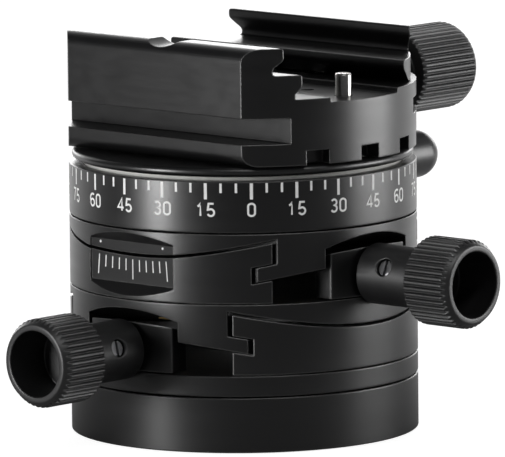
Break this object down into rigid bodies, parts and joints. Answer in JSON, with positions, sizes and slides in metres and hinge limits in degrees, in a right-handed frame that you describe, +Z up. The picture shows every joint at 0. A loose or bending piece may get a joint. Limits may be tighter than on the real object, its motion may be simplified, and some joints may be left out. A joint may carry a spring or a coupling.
{
  "type": "geared leveling head",
  "caption": "Geared leveling head for a tripod: round body with two crossed worm driven tilt stages, a graduated pan ring and a screw clamp for camera plates",
  "frame": {"origin": "on the pan axis, in the plane of the base's flat underside, where a tripod screw enters", "axes": "+Z up along the pan axis and out of the plate seat; +X toward the upper tilt knob; -Y toward the lower tilt knob and the fixed front jaw, +Y toward the clamp knob and the pan lock knob"},
  "size_m": [0.1034, 0.1333, 0.0864],
  "materials": {
    "black_anodised": "satin",
    "black_knob": "matte",
    "bright_steel": "polished",
    "dark_steel": "satin",
    "brass": "satin",
    "bronze": "satin",
    "white_plastic": "matte"
  },
  "bodies": {
    "base": {"base_disc": "black_anodised", "lower_plate": "black_anodised", "tripod_bush": "bright_steel", "base_screw_1": "dark_steel", "base_screw_2": "dark_steel", "base_screw_3": "dark_steel", "lower_rail_left": "black_anodised", "lower_rail_right": "black_anodised", "lower_front_bearing_block": "black_anodised", "lower_front_bush": "bronze", "lower_rear_bearing_block": "black_anodised", "lower_rear_bush": "bronze"},
    "lower_worm": {"lower_worm_shaft": "bright_steel", "lower_knob": "black_knob", "lower_set_screw": "dark_steel"},
    "middle": {"lower_slider": "black_anodised", "lower_sector": "brass", "upper_rail_left": "black_anodised", "upper_rail_right": "black_anodised", "upper_front_bearing_block": "black_anodised", "upper_front_bush": "bronze", "upper_rear_bearing_block": "black_anodised", "upper_rear_bush": "bronze"},
    "upper_worm": {"upper_worm_shaft": "bright_steel", "upper_knob": "black_knob", "upper_set_screw": "dark_steel"},
    "top": {"upper_slider": "black_anodised", "upper_sector": "brass", "scale_ring": "black_anodised", "pan_glide_ring": "white_plastic", "pan_bolt": "dark_steel", "pan_washer": "bright_steel"},
    "pan_brake": {"brake_shoe": "bronze"},
    "pan_lock": {"pan_lock_screw": "bright_steel", "pan_lock_knob": "black_knob"},
    "turntable": {"pan_spindle": "black_anodised", "turntable_disc": "black_anodised", "clamp_body": "black_anodised", "clamp_stud": "bright_steel", "stop_pin_spring": "bright_steel", "clamp_bolt_1": "dark_steel", "clamp_bolt_2": "dark_steel", "clamp_bolt_3": "dark_steel", "clamp_bolt_4": "dark_steel"},
    "stop_pin": {"stop_pin": "bright_steel"},
    "rear_jaw": {"rear_jaw": "black_anodised"},
    "clamp_knob": {"clamp_knob": "black_knob", "knob_retaining_ring": "bright_steel"}
  },
  "joints": [
    {"name": "lower_tilt", "type": "hinge", "parent": "base", "child": "middle", "pos_m": [0, 0, 0.1356], "axis": [1, 0, 0], "range_deg": [-10, 10]},
    {"name": "lower_knob_turn", "type": "hinge", "parent": "base", "child": "lower_worm", "pos_m": [0, -0.0375, 0.0214], "axis": [0, -1, 0], "range_deg": [-2880, 2880]},
    {"name": "upper_tilt", "type": "hinge", "parent": "middle", "child": "top", "pos_m": [0, 0, 0.1509], "axis": [0, 1, 0], "range_deg": [-10, 10]},
    {"name": "upper_knob_turn", "type": "hinge", "parent": "middle", "child": "upper_worm", "pos_m": [0.0375, 0, 0.0367], "axis": [1, 0, 0], "range_deg": [-2880, 2880]},
    {"name": "pan", "type": "hinge", "parent": "top", "child": "turntable", "pos_m": [0, 0, 0.0582], "axis": [0, 0, 1], "continuous": true},
    {"name": "pan_brake_slide", "type": "slide", "parent": "top", "child": "pan_brake", "axis": [0, 1, 0], "range_m": [0, 0.001]},
    {"name": "pan_lock_turn", "type": "hinge", "parent": "pan_brake", "child": "pan_lock", "pos_m": [0, 0.0375, 0.0532], "axis": [0, 1, 0], "range_deg": [0, 361]},
    {"name": "jaw_slide", "type": "slide", "parent": "turntable", "child": "rear_jaw", "axis": [0, 1, 0], "range_m": [-0.0115, 0.0018]},
    {"name": "clamp_knob_turn", "type": "hinge", "parent": "rear_jaw", "child": "clamp_knob", "pos_m": [0, 0.036, 0.072], "axis": [0, 1, 0], "range_deg": [-4141, 649]},
    {"name": "stop_pin_press", "type": "slide", "parent": "turntable", "child": "stop_pin", "axis": [0, 0, 1], "range_m": [-0.0045, 0], "stiffness_N_per_m": 250, "springref_m": 0.003, "deforming": ["stop_pin_spring"]}
  ],
  "couplings": [
    {"joint": "lower_knob_turn", "follows": "lower_tilt", "ratio": 288},
    {"joint": "upper_knob_turn", "follows": "upper_tilt", "ratio": 288},
    {"joint": "pan_lock_turn", "follows": "pan_brake_slide", "rad_per_m": 6283.2},
    {"joint": "clamp_knob_turn", "follows": "jaw_slide", "rad_per_m": 6283.2}
  ]
}
